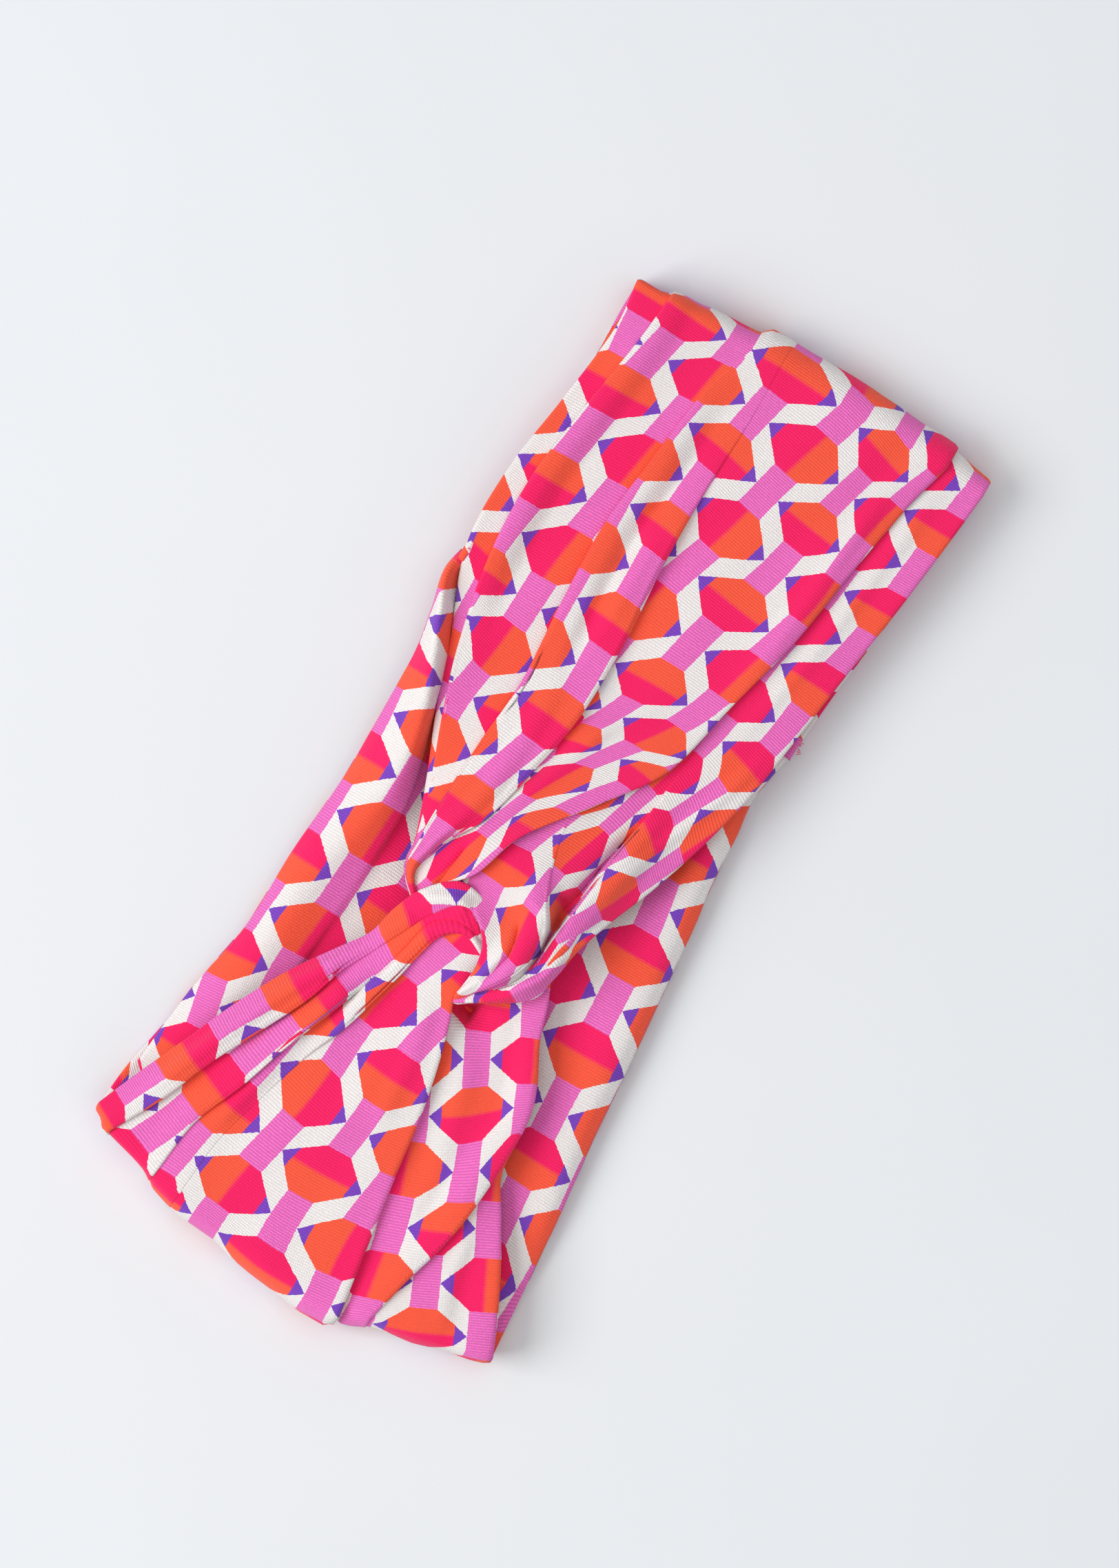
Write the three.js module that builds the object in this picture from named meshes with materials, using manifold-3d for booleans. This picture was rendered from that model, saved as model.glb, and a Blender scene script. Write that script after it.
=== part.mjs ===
// A wide knotted headband of printed cotton jersey, lying flat.
//
// Two straps, each a flat sewn tube of doubled jersey, hook through each other at the front and
// make the knot. The two legs of each strap lie one over the other, run outwards, turn under at the
// end fold and come back beneath to one overlocked centre back seam.
//
// Millimetres. +X across the band, +Y along it, +Z up. The band rests on z = 0.

import * as THREE from "three";
import { mergeVertices } from "three/addons/utils/BufferGeometryUtils.js";
import Module from "manifold-3d";

const wasm = await Module();
wasm.setup();

// ---------------------------------------------------------------- driving dimensions

const FLAT_LENGTH = 250; // end fold to end fold, lying relaxed
const UPPER_END_WIDTH = 95; // across the fold at the +Y end
const LOWER_END_WIDTH = 109; // across the fold at the -Y end
const SEAM_BAND_WIDTH = 90; // across the back layer at the centre back seam
const WAIST_WIDTH = 87; // across the back layer where it is narrowest, behind the knot
const STRAP_THICKNESS = 3.4; // both legs of a strap pressed flat: four layers of jersey
const HEAD_GAP = 7; // clear height between the front and the back layer

const KNOT_Y = -31; // middle of the knot
const SEAM_Y = 44.5; // centre back seam
const BUNDLE_WIDTH = 20; // a gathered leg inside the knot, seen from above
const BUNDLE_THICKNESS = 7.6; // the same leg, seen from the side
const LEG_GAP = 16; // between the two legs of a strap at the knot
const BIGHT_GAP = 5; // left round the middle of the knot, between the two bights
const FAN_RUN_IN = 4; // between the bundle's width and the start of each pleated fan
const FAN_START_WIDTH = 56; // width of a fan there
const FAN_NECK_LENGTH = 16; // from the start of the fan to its neck
const FAN_NECK_WIDTH = 69;
const FAN_SHOULDER = 62; // distance to where the fan has nearly its full width
const FAN_SHOULDER_WIDTH = 83;

const SEAM_RIB_WIDTH = 6; // overlocked seam allowance, folded flat
const SEAM_RIB_HEIGHT = 1.4;
const SEAM_STITCH_WIDTH = 1; // stitching between the two strap ends
const CLOSING_SEAM_WIDTH = 1.4; // stitching that closes each strap's tube
const CLOSING_SEAM_DEPTH = 0.8;
const CLEARANCE = 0.3; // between pieces that touch

// ---------------------------------------------------------------- worked out from them

const INNER_TURN = HEAD_GAP / 2;
const OUTER_TURN = INNER_TURN + STRAP_THICKNESS;
const MID_HEIGHT = OUTER_TURN; // height of the middle of the head opening
const HALF_LENGTH = FLAT_LENGTH / 2;
const BUNDLE_FLATNESS = BUNDLE_THICKNESS / BUNDLE_WIDTH;
const FAN_START = BUNDLE_WIDTH + FAN_RUN_IN; // distance from the middle of the knot to the start of the fan
const FAN_NECK = FAN_START + FAN_NECK_LENGTH;
const LEG_SPREAD = BUNDLE_WIDTH + LEG_GAP;
const BIGHT_DEPTH = (BUNDLE_WIDTH + BIGHT_GAP) / 2; // how far each bight hooks past the middle of the knot
const LOW_LEG_Z = MID_HEIGHT + INNER_TURN + BUNDLE_THICKNESS / 2;
const HIGH_LEG_Z = LOW_LEG_Z + BUNDLE_THICKNESS + CLEARANCE * 2;
const KNOT_TOP = HIGH_LEG_Z + BUNDLE_THICKNESS;
const FAN_BOTTOM = MID_HEIGHT + INNER_TURN;
const SUNK_LEG_Z = MID_HEIGHT + OUTER_TURN - BUNDLE_THICKNESS / 2 - CLEARANCE;

const ACROSS_X = new THREE.Matrix4().makeBasis(
  new THREE.Vector3(0, 1, 0),
  new THREE.Vector3(0, 0, 1),
  new THREE.Vector3(1, 0, 0),
);
const HALF_TURN = new THREE.Matrix4().makeRotationZ(Math.PI);

// ---------------------------------------------------------------- geometry to solids and back

function solidFrom(geometry) {
  const bare = geometry.index ? geometry.toNonIndexed() : geometry.clone();
  bare.deleteAttribute("normal");
  bare.deleteAttribute("uv");
  const merged = mergeVertices(bare, 1e-4);
  const mesh = new wasm.Mesh({
    numProp: 3,
    vertProperties: new Float32Array(merged.attributes.position.array),
    triVerts: new Uint32Array(merged.index.array),
  });
  return new wasm.Manifold(mesh);
}

function geometryFrom(solid) {
  const mesh = solid.getMesh();
  const geometry = new THREE.BufferGeometry();
  geometry.setAttribute("position", new THREE.BufferAttribute(mesh.vertProperties, 3));
  geometry.setIndex(new THREE.BufferAttribute(mesh.triVerts, 1));
  geometry.computeVertexNormals();
  return geometry;
}

function namedMesh(name, solid, color, roughness) {
  const material = new THREE.MeshStandardMaterial({ color, roughness, metalness: 0 });
  const mesh = new THREE.Mesh(geometryFrom(solid), material);
  mesh.name = name;
  return mesh;
}

// ---------------------------------------------------------------- building blocks

// A layer that runs along the back, turns up round the end fold and comes back along the front.
// It is drawn from the side with the fold at +Y, and innerRadius and outerRadius are its two faces.
function turnedLayer(innerRadius, outerRadius, backStart, frontEnd, width) {
  const turnY = HALF_LENGTH - OUTER_TURN;
  const side = new THREE.Shape();
  side.moveTo(backStart, MID_HEIGHT - outerRadius);
  side.lineTo(turnY, MID_HEIGHT - outerRadius);
  side.absarc(turnY, MID_HEIGHT, outerRadius, -Math.PI / 2, Math.PI / 2, false);
  side.lineTo(frontEnd, MID_HEIGHT + outerRadius);
  side.lineTo(frontEnd, MID_HEIGHT + innerRadius);
  side.lineTo(turnY, MID_HEIGHT + innerRadius);
  side.absarc(turnY, MID_HEIGHT, innerRadius, Math.PI / 2, -Math.PI / 2, true);
  side.lineTo(backStart, MID_HEIGHT - innerRadius);
  side.closePath();
  const geometry = new THREE.ExtrudeGeometry(side, {
    depth: width,
    bevelEnabled: false,
    curveSegments: 16,
  });
  geometry.translate(0, 0, -width / 2);
  geometry.applyMatrix4(ACROSS_X);
  return solidFrom(geometry);
}

// A prism with a smooth outline, symmetric across the band, through stations of [y, width].
function outlinePrism(stations, bottom, top) {
  const side = (sign) => stations.map(([y, width]) => new THREE.Vector2((sign * width) / 2, y));
  const right = new THREE.SplineCurve(side(1)).getPoints(24);
  const left = new THREE.SplineCurve(side(-1)).getPoints(24);
  const shape = new THREE.Shape([...right, ...left.reverse()]);
  const geometry = new THREE.ExtrudeGeometry(shape, { depth: top - bottom, bevelEnabled: false });
  geometry.translate(0, 0, bottom);
  return solidFrom(geometry);
}

// The gathered cloth of one strap in the knot: its low leg comes in, the bight hooks round and
// climbs, and its high leg goes back out. It is drawn round and then pressed flat. Both ends sink
// into the fan, and what would reach below the fan is cut off.
function knotBundle() {
  const leg = LEG_SPREAD / 2;
  const clearOfLeg = leg - BUNDLE_WIDTH / 2;
  const sunk = SUNK_LEG_Z / BUNDLE_FLATNESS;
  const low = LOW_LEG_Z / BUNDLE_FLATNESS;
  const high = HIGH_LEG_Z / BUNDLE_FLATNESS;
  const path = new THREE.CatmullRomCurve3([
    new THREE.Vector3(-leg, FAN_SHOULDER, sunk),
    new THREE.Vector3(-leg, FAN_START, low),
    new THREE.Vector3(-leg, BIGHT_DEPTH / 2, low),
    new THREE.Vector3(-clearOfLeg, -BIGHT_DEPTH, low),
    new THREE.Vector3(clearOfLeg, -BIGHT_DEPTH, high),
    new THREE.Vector3(leg, BIGHT_DEPTH / 2, high),
    new THREE.Vector3(leg, FAN_START, high),
    new THREE.Vector3(leg, FAN_SHOULDER, sunk),
  ]);
  const section = new THREE.Shape().absarc(0, 0, BUNDLE_WIDTH / 2, 0, Math.PI * 2, false);
  const geometry = new THREE.ExtrudeGeometry(section, {
    steps: 72,
    curveSegments: 10,
    extrudePath: path,
  });
  geometry.scale(1, 1, BUNDLE_FLATNESS);
  return solidFrom(geometry).trimByPlane([0, 0, 1], FAN_BOTTOM);
}

// One strap with its end fold at +Y. knotY is the middle of the knot and seamY the end of the
// strap at the seam, both measured with the fold at +Y.
function strap(endWidth, backStations, knotY, seamY) {
  const frontStart = knotY + FAN_START;
  const front = outlinePrism(
    [
      [HALF_LENGTH, endWidth],
      [knotY + FAN_SHOULDER, FAN_SHOULDER_WIDTH],
      [knotY + FAN_NECK, FAN_NECK_WIDTH],
      [frontStart, FAN_START_WIDTH],
    ],
    MID_HEIGHT,
    KNOT_TOP,
  );
  const back = outlinePrism([[HALF_LENGTH, endWidth], ...backStations], 0, MID_HEIGHT);
  const width = Math.max(endWidth, SEAM_BAND_WIDTH);
  const layer = turnedLayer(INNER_TURN, OUTER_TURN, seamY, frontStart, width);
  const bundle = knotBundle().translate([0, knotY, 0]);
  const groove = turnedLayer(
    INNER_TURN - CLEARANCE,
    INNER_TURN + CLOSING_SEAM_DEPTH + CLEARANCE,
    seamY - CLEARANCE,
    frontStart - CLEARANCE,
    CLOSING_SEAM_WIDTH + CLEARANCE * 2,
  );
  return layer.intersect(front.add(back)).subtract(groove).add(bundle);
}

// The stitching that closes a strap's tube, sunk in the face that lies towards the head.
function closingSeam(knotY, seamY) {
  const start = seamY + SEAM_RIB_WIDTH / 2 + CLEARANCE;
  const end = knotY + FAN_START + CLEARANCE;
  const outer = INNER_TURN + CLOSING_SEAM_DEPTH;
  return turnedLayer(INNER_TURN, outer, start, end, CLOSING_SEAM_WIDTH);
}

// The overlocked allowance of both straps, folded flat on the inner face, with its stitching.
function backSeam() {
  const ribBottom = STRAP_THICKNESS + CLEARANCE;
  const rib = new THREE.BoxGeometry(SEAM_BAND_WIDTH, SEAM_RIB_WIDTH, SEAM_RIB_HEIGHT);
  rib.translate(0, SEAM_Y, ribBottom + SEAM_RIB_HEIGHT / 2);
  const stitchHeight = ribBottom + SEAM_RIB_HEIGHT / 2 - CLEARANCE;
  const stitch = new THREE.BoxGeometry(SEAM_BAND_WIDTH, SEAM_STITCH_WIDTH, stitchHeight);
  stitch.translate(0, SEAM_Y, CLEARANCE + stitchHeight / 2);
  return solidFrom(rib).add(solidFrom(stitch));
}

// ---------------------------------------------------------------- the headband

const headband = new THREE.Group();
const strapEndGap = SEAM_STITCH_WIDTH / 2 + CLEARANCE;

const upperSeamY = SEAM_Y + strapEndGap;
const upperBack = [[upperSeamY, SEAM_BAND_WIDTH]];
const upperStrap = strap(UPPER_END_WIDTH, upperBack, KNOT_Y, upperSeamY);
headband.add(namedMesh("upper_strap", upperStrap, 0xfa3a5a, 0.9));

const lowerSeamY = -(SEAM_Y - strapEndGap);
const lowerBack = [
  [-KNOT_Y, WAIST_WIDTH],
  [lowerSeamY, SEAM_BAND_WIDTH],
];
const lowerStrap = strap(LOWER_END_WIDTH, lowerBack, -KNOT_Y, lowerSeamY).transform(HALF_TURN.elements);
headband.add(namedMesh("lower_strap", lowerStrap, 0xff5b3a, 0.9));

headband.add(namedMesh("back_seam", backSeam(), 0xe46ac4, 0.9));

const upperClosing = closingSeam(KNOT_Y, SEAM_Y);
headband.add(namedMesh("upper_closing_seam", upperClosing, 0xede8e7, 0.85));

const lowerClosing = closingSeam(-KNOT_Y, -SEAM_Y).transform(HALF_TURN.elements);
headband.add(namedMesh("lower_closing_seam", lowerClosing, 0xede8e7, 0.85));

export default headband;
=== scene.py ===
import math

import bpy
import numpy as np
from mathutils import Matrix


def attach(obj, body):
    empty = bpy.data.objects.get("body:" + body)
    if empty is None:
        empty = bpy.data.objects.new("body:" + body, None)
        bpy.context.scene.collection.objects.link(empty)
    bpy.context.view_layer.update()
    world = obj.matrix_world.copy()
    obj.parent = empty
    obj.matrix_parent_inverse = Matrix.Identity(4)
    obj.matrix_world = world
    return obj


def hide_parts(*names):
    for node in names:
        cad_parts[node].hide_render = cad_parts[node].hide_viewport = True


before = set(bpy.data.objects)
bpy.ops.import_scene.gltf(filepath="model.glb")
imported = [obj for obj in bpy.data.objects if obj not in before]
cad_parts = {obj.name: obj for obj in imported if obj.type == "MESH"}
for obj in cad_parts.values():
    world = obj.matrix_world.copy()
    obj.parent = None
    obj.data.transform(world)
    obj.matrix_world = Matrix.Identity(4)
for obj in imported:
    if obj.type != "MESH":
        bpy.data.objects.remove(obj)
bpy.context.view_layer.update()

# ------------------------------------------------------------------ table, light and camera
# The headband lies flat on a pale matt studio table under a large soft light from its
# left and near the lower end, and is seen from straight above, turned 31 degrees.
MM = 0.001
VIEW_TURN = math.radians(31.24)
VIEW_HEIGHT = 1.35
VIEW_TARGET = (-1.5 * MM, 9.64 * MM, 12 * MM)
VIEW_LENGTH = 358.3 * MM


def linear(hex_colour):
    """An sRGB hex colour as the linear RGBA that Blender takes."""
    values = [int(hex_colour[i : i + 2], 16) / 255 for i in (1, 3, 5)]
    return tuple(v / 12.92 if v <= 0.04045 else ((v + 0.055) / 1.055) ** 2.4 for v in values) + (1.0,)


def add(tree, kind, inputs=None, **settings):
    """Adds a node with its settings, and sets or links its inputs."""
    node = tree.nodes.new(kind)
    for name, value in settings.items():
        setattr(node, name, value)
    for key, value in (inputs or {}).items():
        if isinstance(value, bpy.types.NodeSocket):
            tree.links.new(value, node.inputs[key])
        else:
            node.inputs[key].default_value = value
    return node


def new_material(name):
    material = bpy.data.materials.new(name)
    material.use_nodes = True
    material.node_tree.nodes.clear()
    return material, material.node_tree


scene = bpy.context.scene
scene.view_settings.view_transform = "Standard"

camera_data = bpy.data.cameras.new("view_from_above")
camera_data.sensor_fit = "VERTICAL"
camera_data.sensor_height = 36
camera_data.lens = 36 * (VIEW_HEIGHT - VIEW_TARGET[2]) / VIEW_LENGTH
camera = bpy.data.objects.new("view_from_above", camera_data)
camera.location = (VIEW_TARGET[0], VIEW_TARGET[1], VIEW_HEIGHT)
camera.rotation_euler = (0, 0, VIEW_TURN)
scene.collection.objects.link(camera)
scene.camera = camera

for name, place, size, watts in (
    ("soft_window", (-1.15, -0.8, 1.25), 1.2, 25.5),
    ("overhead_diffuser", (0.1, 0.15, 1.9), 1.6, 11.0),
):
    light_data = bpy.data.lights.new(name, "AREA")
    light_data.size = size
    light_data.energy = watts
    light = bpy.data.objects.new(name, light_data)
    light.location = place
    aim = np.array(place) / np.linalg.norm(place)
    light.rotation_euler = (math.acos(aim[2]), 0, math.atan2(aim[1], aim[0]) + math.pi / 2)
    scene.collection.objects.link(light)

world = bpy.data.worlds.new("pale_studio")
world.use_nodes = True
world.node_tree.nodes["Background"].inputs["Color"].default_value = linear("#F4F6FA")
world.node_tree.nodes["Background"].inputs["Strength"].default_value = 0.46
scene.world = world

# Painted board: matt, faintly uneven in tone.
board, tree = new_material("matt_painted_board")
place = add(tree, "ShaderNodeTexCoord")
tone = add(tree, "ShaderNodeTexNoise", {"Vector": place.outputs["Object"], "Scale": 9.0})
shade = add(
    tree,
    "ShaderNodeMix",
    {"Factor": tone.outputs["Fac"], "A": linear("#DFE1E3"), "B": linear("#E3E5E7")},
    data_type="RGBA",
)
paint = add(tree, "ShaderNodeBsdfPrincipled", {"Base Color": shade.outputs["Result"], "Roughness": 0.9})
add(tree, "ShaderNodeOutputMaterial", {"Surface": paint.outputs["BSDF"]})
TABLE_HALF = 3.0
table_mesh = bpy.data.meshes.new("table_top")
corners = [
    (-TABLE_HALF, -TABLE_HALF), (TABLE_HALF, -TABLE_HALF), (TABLE_HALF, TABLE_HALF),
    (-TABLE_HALF, TABLE_HALF),
]
table_mesh.from_pydata([(x, y, -0.1 * MM) for x, y in corners], [], [(0, 1, 2, 3)])
table_mesh.materials.append(board)
table = bpy.data.objects.new("table_top", table_mesh)
scene.collection.objects.link(table)

# ------------------------------------------------------------------ upper strap, outer leg
# A flattened tube of jersey. It leaves the knot at the left, fans out in soft pleats over
# the whole width, rolls over the upper end and runs underneath to the centre back seam.

# Viscose jersey with a geometric print: columns of octagons in orange and red joined by
# pink bars, purple darts at their sides, and off-white bands between. Printed on the knit,
# so the colours are matt and the edges are slightly ragged. The courses show as fine ribs,
# which are bumped and also darkened with painted shade in the grooves, most on the pink.
REPEAT_ALONG = 25.0
REPEAT_ACROSS = 27.2
OCTAGON_HALF_HEIGHT = 6.2
OCTAGON_HALF_WIDTH = 7.5
BAR_HALF_WIDTH = 3.2
DART_HALF_HEIGHT = 2.6
DART_TIP = 10.4
RAGGED_EDGE = 0.45
COURSE = 0.62  # a course is nearer 0.35 mm; drawn wider so that the ribs still show
RIB_DEPTH = 0.12


def jersey(name):
    material, tree = new_material(name)
    uv = add(tree, "ShaderNodeUVMap", uv_map="print")
    ragged = add(tree, "ShaderNodeTexNoise", {"Vector": uv.outputs["UV"], "Scale": 1.7, "Detail": 2.0})
    shift = add(
        tree,
        "ShaderNodeVectorMath",
        {0: ragged.outputs["Color"], 1: (0.5, 0.5, 0.5)},
        operation="SUBTRACT",
    )
    moved = add(
        tree,
        "ShaderNodeVectorMath",
        {0: shift.outputs["Vector"], 1: (RAGGED_EDGE,) * 3, 2: uv.outputs["UV"]},
        operation="MULTIPLY_ADD",
    )
    parts = add(tree, "ShaderNodeSeparateXYZ", {"Vector": moved.outputs["Vector"]})

    def calc(operation, *values):
        return add(tree, "ShaderNodeMath", dict(enumerate(values)), operation=operation).outputs[0]

    colour = linear("#EFE9E6")
    blends = {}
    octagons = []
    bars = []
    darts = []
    for key, along, across in (("even", 0.0, 0.0), ("odd", REPEAT_ALONG / 2, REPEAT_ACROSS / 2)):
        u = calc("WRAP", calc("ADD", parts.outputs["X"], along), REPEAT_ALONG / 2, -REPEAT_ALONG / 2)
        v = calc("WRAP", calc("ADD", parts.outputs["Y"], across), REPEAT_ACROSS / 2, -REPEAT_ACROSS / 2)
        far_u = calc("ABSOLUTE", u)
        far_v = calc("ABSOLUTE", v)
        slope = (OCTAGON_HALF_HEIGHT - DART_HALF_HEIGHT) / (OCTAGON_HALF_WIDTH - BAR_HALF_WIDTH)
        corner = calc("MULTIPLY_ADD", calc("SUBTRACT", far_v, BAR_HALF_WIDTH), slope, far_u)
        inside = calc(
            "MULTIPLY",
            calc("LESS_THAN", far_u, OCTAGON_HALF_HEIGHT),
            calc("LESS_THAN", far_v, OCTAGON_HALF_WIDTH),
        )
        octagons.append(calc("MULTIPLY", inside, calc("LESS_THAN", corner, OCTAGON_HALF_HEIGHT)))
        taper = DART_HALF_HEIGHT / (DART_TIP - OCTAGON_HALF_WIDTH)
        dart = calc("MULTIPLY_ADD", calc("SUBTRACT", far_v, OCTAGON_HALF_WIDTH), taper, far_u)
        beside = calc("GREATER_THAN", far_v, OCTAGON_HALF_WIDTH)
        darts.append(calc("MULTIPLY", beside, calc("LESS_THAN", dart, DART_HALF_HEIGHT)))
        within = calc("LESS_THAN", far_v, BAR_HALF_WIDTH)
        bars.append(calc("MULTIPLY", within, calc("GREATER_THAN", far_u, OCTAGON_HALF_HEIGHT)))
        blends[key] = v if key == "even" else u
    bar = calc("MAXIMUM", *bars)
    colour = add(
        tree,
        "ShaderNodeMix",
        {"Factor": bar, "A": colour, "B": linear("#FB74C9")},
        data_type="RGBA",
    )
    dart = calc("MAXIMUM", *darts)
    colour = add(
        tree,
        "ShaderNodeMix",
        {"Factor": dart, "A": colour.outputs["Result"], "B": linear("#7C43BE")},
        data_type="RGBA",
    )
    for key, octagon in zip(("even", "odd"), octagons):
        split = add(
            tree,
            "ShaderNodeMapRange",
            {"Value": blends[key], "From Min": -0.5, "From Max": 0.5},
        )
        halves = add(
            tree,
            "ShaderNodeMix",
            {"Factor": split.outputs["Result"], "A": linear("#FC1A64"), "B": linear("#FF5A3E")},
            data_type="RGBA",
        )
        colour = add(
            tree,
            "ShaderNodeMix",
            {"Factor": octagon, "A": colour.outputs["Result"], "B": halves.outputs["Result"]},
            data_type="RGBA",
        )

    courses = calc("SINE", calc("MULTIPLY", parts.outputs["X"], 2 * math.pi / COURSE))
    wales = calc("SINE", calc("MULTIPLY", parts.outputs["Y"], 2 * math.pi / (COURSE * 0.8)))
    # painted shade: the colour darkens in the grooves between the courses, more on the pink bars
    rib_painted_shade_share = calc("MULTIPLY_ADD", bar, 0.22, 0.09)
    rib_painted_shade = calc("SUBTRACT", 1.0, calc("MULTIPLY", rib_painted_shade_share, calc("MULTIPLY_ADD", courses, 0.5, 0.5)))
    mottle = add(tree, "ShaderNodeTexNoise", {"Vector": uv.outputs["UV"], "Scale": 0.9, "Detail": 4.0})
    mottle_tone = calc("MULTIPLY_ADD", mottle.outputs["Fac"], 0.12, 0.94)
    # colour scale: the painted rib shade times the random mottle
    tone = calc("MULTIPLY", rib_painted_shade, mottle_tone)
    shaded = add(
        tree,
        "ShaderNodeVectorMath",
        {0: colour.outputs["Result"], "Scale": tone},
        operation="SCALE",
    )
    height = calc("MULTIPLY_ADD", wales, 0.35, courses)
    fibres = add(tree, "ShaderNodeTexNoise", {"Vector": uv.outputs["UV"], "Scale": 4.0, "Detail": 3.0})
    height = calc("MULTIPLY_ADD", fibres.outputs["Fac"], 1.6, height)
    bump = add(tree, "ShaderNodeBump", {"Height": height, "Strength": 0.55, "Distance": RIB_DEPTH * MM})
    rough = calc("MULTIPLY_ADD", mottle.outputs["Fac"], 0.1, 0.78)
    cloth = add(
        tree,
        "ShaderNodeBsdfPrincipled",
        {
            "Base Color": shaded.outputs["Vector"],
            "Roughness": rough,
            "Normal": bump.outputs["Normal"],
            "Specular IOR Level": 0.25,
            "Sheen Weight": 0.12,
            "Sheen Roughness": 0.5,
        },
    )
    add(tree, "ShaderNodeOutputMaterial", {"Surface": cloth.outputs["BSDF"]})
    return material


upper_jersey = jersey("printed_viscose_jersey_upper")


def print_map(turn, marks):
    """Where the print's columns lie on one panel: marks are rows of (column, first row,
    points of its motifs), each motif half a repeat after the last. Returns a function
    from x, y to the print's own along and across, in mm."""
    points = []
    targets = []
    for column, row, places in marks:
        for step, place in enumerate(places):
            if place is not None:
                points.append(place)
                targets.append(((row + step) * REPEAT_ALONG / 2, column * REPEAT_ACROSS / 2))
    if len(marks) == 1 and None not in places:  # a lone column says nothing of its own width
        runs = np.gradient(np.array(places, float), axis=0)
        for place, run, target in zip(places, runs / np.linalg.norm(runs, axis=1)[:, None], list(targets)):
            for side in (-REPEAT_ACROSS / 4, REPEAT_ACROSS / 4):
                points.append((place[0] + side * run[1], place[1] - side * run[0]))
                targets.append((target[0], target[1] + side))
    points = np.array(points, float)
    targets = np.array(targets, float)
    angle = math.radians(turn)
    ideal = np.array([[-math.sin(angle), math.cos(angle)], [math.cos(angle), math.sin(angle)]])
    middle = points.mean(axis=0)
    centred = points - middle
    stiffness = 40.0  # how strongly the print keeps its own scale and squareness
    gram = centred.T @ centred + stiffness * np.eye(2)
    offset = targets.mean(axis=0)
    affine = np.linalg.solve(gram, centred.T @ (targets - offset) + stiffness * ideal.T)
    reach = 17.0
    near = np.exp(-((points[:, None] - points[None]) ** 2).sum(-1) / (2 * reach**2))
    rest = targets - offset - centred @ affine
    slack = 0.03  # how far a mark may be missed for a smoother print
    pull = np.linalg.solve(near + slack * np.eye(len(points)), rest)

    def lay(x, y):
        here = np.stack([x, y], axis=-1)
        bend = np.exp(-((here[..., None, :] - points) ** 2).sum(-1) / (2 * reach**2))
        return (here - middle) @ affine + offset + bend @ pull

    return lay


def flow(values, count):
    """A smooth curve through evenly spaced values, at count even steps."""
    values = np.asarray(values, float)
    slopes = np.gradient(values, axis=0)
    places = np.linspace(0, len(values) - 1, count)
    left = np.minimum(places.astype(int), len(values) - 2)
    f = (places - left).reshape(-1, *([1] * (values.ndim - 1)))
    a, b, da, db = values[left], values[left + 1], slopes[left], slopes[left + 1]
    before = a * (1 + 2 * f) * (1 - f) ** 2 + da * f * (1 - f) ** 2
    after = b * f * f * (3 - 2 * f) - db * f * f * (1 - f)
    return before + after


def creases(x, y, lines):
    """Heights that soft ridges and valleys add, each (points, half width, height)."""
    total = np.zeros_like(x)
    for points, width, height in lines:
        points = np.asarray(points, float)
        best = np.full_like(x, 1e9)
        share = np.zeros_like(x)
        run = np.concatenate([[0], np.cumsum(np.hypot(*np.diff(points, axis=0).T))])
        for i in range(len(points) - 1):
            ax, ay = points[i]
            dx, dy = points[i + 1] - points[i]
            f = np.clip(((x - ax) * dx + (y - ay) * dy) / (dx * dx + dy * dy), 0, 1)
            gap = np.hypot(x - ax - f * dx, y - ay - f * dy)
            closer = gap < best
            best = np.where(closer, gap, best)
            share = np.where(closer, (run[i] + f * (run[i + 1] - run[i])) / run[-1], share)
        fade = np.clip(np.minimum(share, 1 - share) * 5 + 0.15, 0, 1)
        total += height * fade * np.exp(-((best / width) ** 2))
    return total


def wrinkles(uv, seed):
    """Fine uneven waves in the cloth, longer along the strap than across it."""
    draw = np.random.default_rng(seed)
    total = np.zeros(uv.shape[:-1])
    for _ in range(14):
        along = draw.uniform(0.02, 0.16)
        across = draw.uniform(0.12, 0.55)
        phase = draw.uniform(0, 2 * math.pi)
        sign = draw.choice([-1, 1])
        total += np.sin(uv[..., 0] * along + sign * uv[..., 1] * across + phase) / 14**0.5
    return total


JERSEY = 1.0  # two layers of jersey, the flattened tube
FOLD_PITCH = 1.25  # from one layer to the next in a pleat
BEND_STEPS = 6  # grid steps round each of a pleat's two bends
FOLD_STEPS = 2 * BEND_STEPS + 1
FULL_DEPTH = 1.5  # a pleat this deep stands at its full height, a shallower one is lower
ROLL = 6.0  # how far past a pleat the cloth takes to come down again
REPEAT = np.array([REPEAT_ALONG, REPEAT_ACROSS])


def pleat_profile(depth, pitch, over):
    """The section of a pleat, from the panel on its left to the one on its right."""
    turns = np.linspace(0, math.pi, BEND_STEPS)
    roll = np.stack([np.sin(turns), 1.5 + 0.5 * np.cos(turns)], axis=1)
    back = np.stack([-np.sin(turns), 0.5 + 0.5 * np.cos(turns)], axis=1)
    shape = np.concatenate([roll, [[0.0, 1.0]], back])
    pushes = np.concatenate([np.zeros(BEND_STEPS), [0.5], np.ones(BEND_STEPS)])
    half = 0.5 * pitch[:, None]
    x = (shape[:, 0] - 1.0)[None] * half - pushes[None] * depth[:, None]
    z = shape[:, 1][None] * pitch[:, None]
    if over == "right":
        return -x[:, ::-1], z[:, ::-1]
    return x, z


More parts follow.
